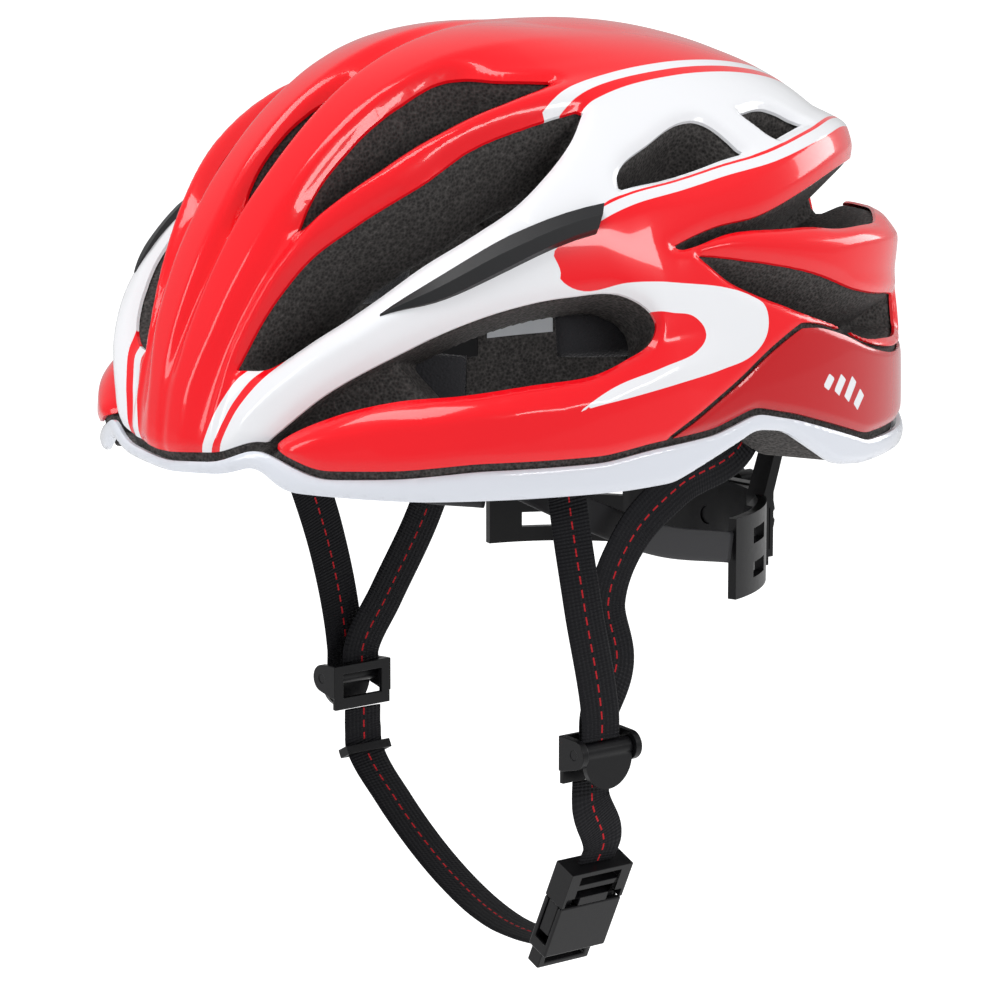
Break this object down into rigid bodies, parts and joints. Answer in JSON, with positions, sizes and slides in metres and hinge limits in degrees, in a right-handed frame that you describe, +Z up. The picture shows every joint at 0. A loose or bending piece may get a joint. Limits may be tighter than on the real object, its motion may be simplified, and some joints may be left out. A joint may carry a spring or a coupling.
{
  "type": "cycling helmet",
  "caption": "Road cycling helmet: vented foam liner under thin shells, rear fit cradle with a dial, and a chin strap with cam dividers and a side release buckle.",
  "frame": {"origin": "centre of the head opening at the height of the side rim", "axes": "+Z up through the crown, -Y to the front, +X to the rider's left"},
  "size_m": [0.205, 0.2718, 0.2918],
  "materials": {
    "foam": "fine beaded foam, matt",
    "red_shell": "clear-coated gloss",
    "dark_red_shell": "clear-coated gloss",
    "white_shell": "gloss",
    "pad_cloth": "brushed knit",
    "webbing": "ribbed weave with a red centre stitch",
    "label_film": "satin",
    "screw_steel": "satin",
    "belt_plastic": "matt",
    "elastic": "matt",
    "black_plastic": "fine moulded grain"
  },
  "bodies": {
    "helmet": {"eps_liner": "foam", "upper_shell": "red_shell", "lower_shell": "white_shell", "rear_panel_left": "dark_red_shell", "rear_panel_right": "dark_red_shell", "side_insert_left": "black_plastic", "side_insert_right": "black_plastic", "brow_pad": "pad_cloth", "crown_pad_left": "pad_cloth", "crown_pad_right": "pad_cloth", "side_pad_left": "pad_cloth", "side_pad_right": "pad_cloth", "strap_anchors": "black_plastic", "belt_anchors": "black_plastic", "cradle_anchors": "black_plastic", "blank_label": "label_film", "side_belt_left": "belt_plastic", "side_belt_right": "belt_plastic", "front_strap_left": "webbing", "front_strap_right": "webbing", "rear_strap_left": "webbing", "rear_strap_right": "webbing"},
    "cradle": {"cradle": "black_plastic", "cradle_cover": "black_plastic", "cover_screws": "screw_steel"},
    "dial": {"fit_dial": "black_plastic"},
    "rack_left": {"belt_rack_left": "belt_plastic"},
    "rack_right": {"belt_rack_right": "belt_plastic"},
    "chin_loop": {"divider_left": "black_plastic", "divider_right": "black_plastic", "chin_strap_left": "webbing", "chin_strap_right": "webbing", "strap_keeper": "elastic", "buckle_female": "black_plastic"},
    "lever_left": {"divider_lever_left": "black_plastic"},
    "lever_right": {"divider_lever_right": "black_plastic"},
    "buckle_male": {"buckle_male": "black_plastic"},
    "prong_front": {"buckle_prong_front": "black_plastic"},
    "prong_rear": {"buckle_prong_rear": "black_plastic"}
  },
  "joints": [
    {"name": "cradle_tilt", "type": "hinge", "parent": "helmet", "child": "cradle", "pos_m": [0, 0.0882, 0.002], "axis": [1, 0, 0], "range_deg": [-12, 14], "deforming": ["side_belt_left", "side_belt_right"]},
    {"name": "dial_turn", "type": "hinge", "parent": "cradle", "child": "dial", "pos_m": [0, 0.091, -0.038], "axis": [0, 1, 0], "range_deg": [-150, 150]},
    {"name": "rack_left_slide", "type": "slide", "parent": "cradle", "child": "rack_left", "axis": [1, 0, 0], "range_m": [-0.0112, 0.0112]},
    {"name": "rack_right_slide", "type": "slide", "parent": "cradle", "child": "rack_right", "axis": [1, 0, 0], "range_m": [-0.0112, 0.0112]},
    {"name": "chin_swing", "type": "hinge", "parent": "helmet", "child": "chin_loop", "pos_m": [0, -0.008, 0.006], "axis": [1, 0, 0], "range_deg": [-20, 20], "deforming": ["front_strap_left", "front_strap_right", "rear_strap_left", "rear_strap_right"]},
    {"name": "lever_left_hinge", "type": "hinge", "parent": "chin_loop", "child": "lever_left", "pos_m": [0.08, -0.028, -0.085], "axis": [0, -1, 0], "range_deg": [0, 90]},
    {"name": "lever_right_hinge", "type": "hinge", "parent": "chin_loop", "child": "lever_right", "pos_m": [-0.076, -0.004, -0.092], "axis": [0, 1, 0], "range_deg": [0, 90]},
    {"name": "buckle_slide", "type": "slide", "parent": "chin_loop", "child": "buckle_male", "axis": [0.4226, 0, 0.9063], "range_m": [0, 0.022], "deforming": ["chin_strap_left"]},
    {"name": "prong_front_squeeze", "type": "hinge", "parent": "buckle_male", "child": "prong_front", "pos_m": [0.062, -0.0275, -0.134], "axis": [0.9063, 0, -0.4226], "range_deg": [0, 6], "stiffness_Nm_per_rad": 0.02},
    {"name": "prong_rear_squeeze", "type": "hinge", "parent": "buckle_male", "child": "prong_rear", "pos_m": [0.062, -0.0105, -0.134], "axis": [-0.9063, 0, 0.4226], "range_deg": [0, 6], "stiffness_Nm_per_rad": 0.02}
  ],
  "couplings": [
    {"joint": "rack_left_slide", "follows": "dial_turn", "m_per_rad": 0.0042},
    {"joint": "rack_right_slide", "follows": "dial_turn", "m_per_rad": -0.0042},
    {"joint": "prong_rear_squeeze", "follows": "prong_front_squeeze", "ratio": 1}
  ]
}
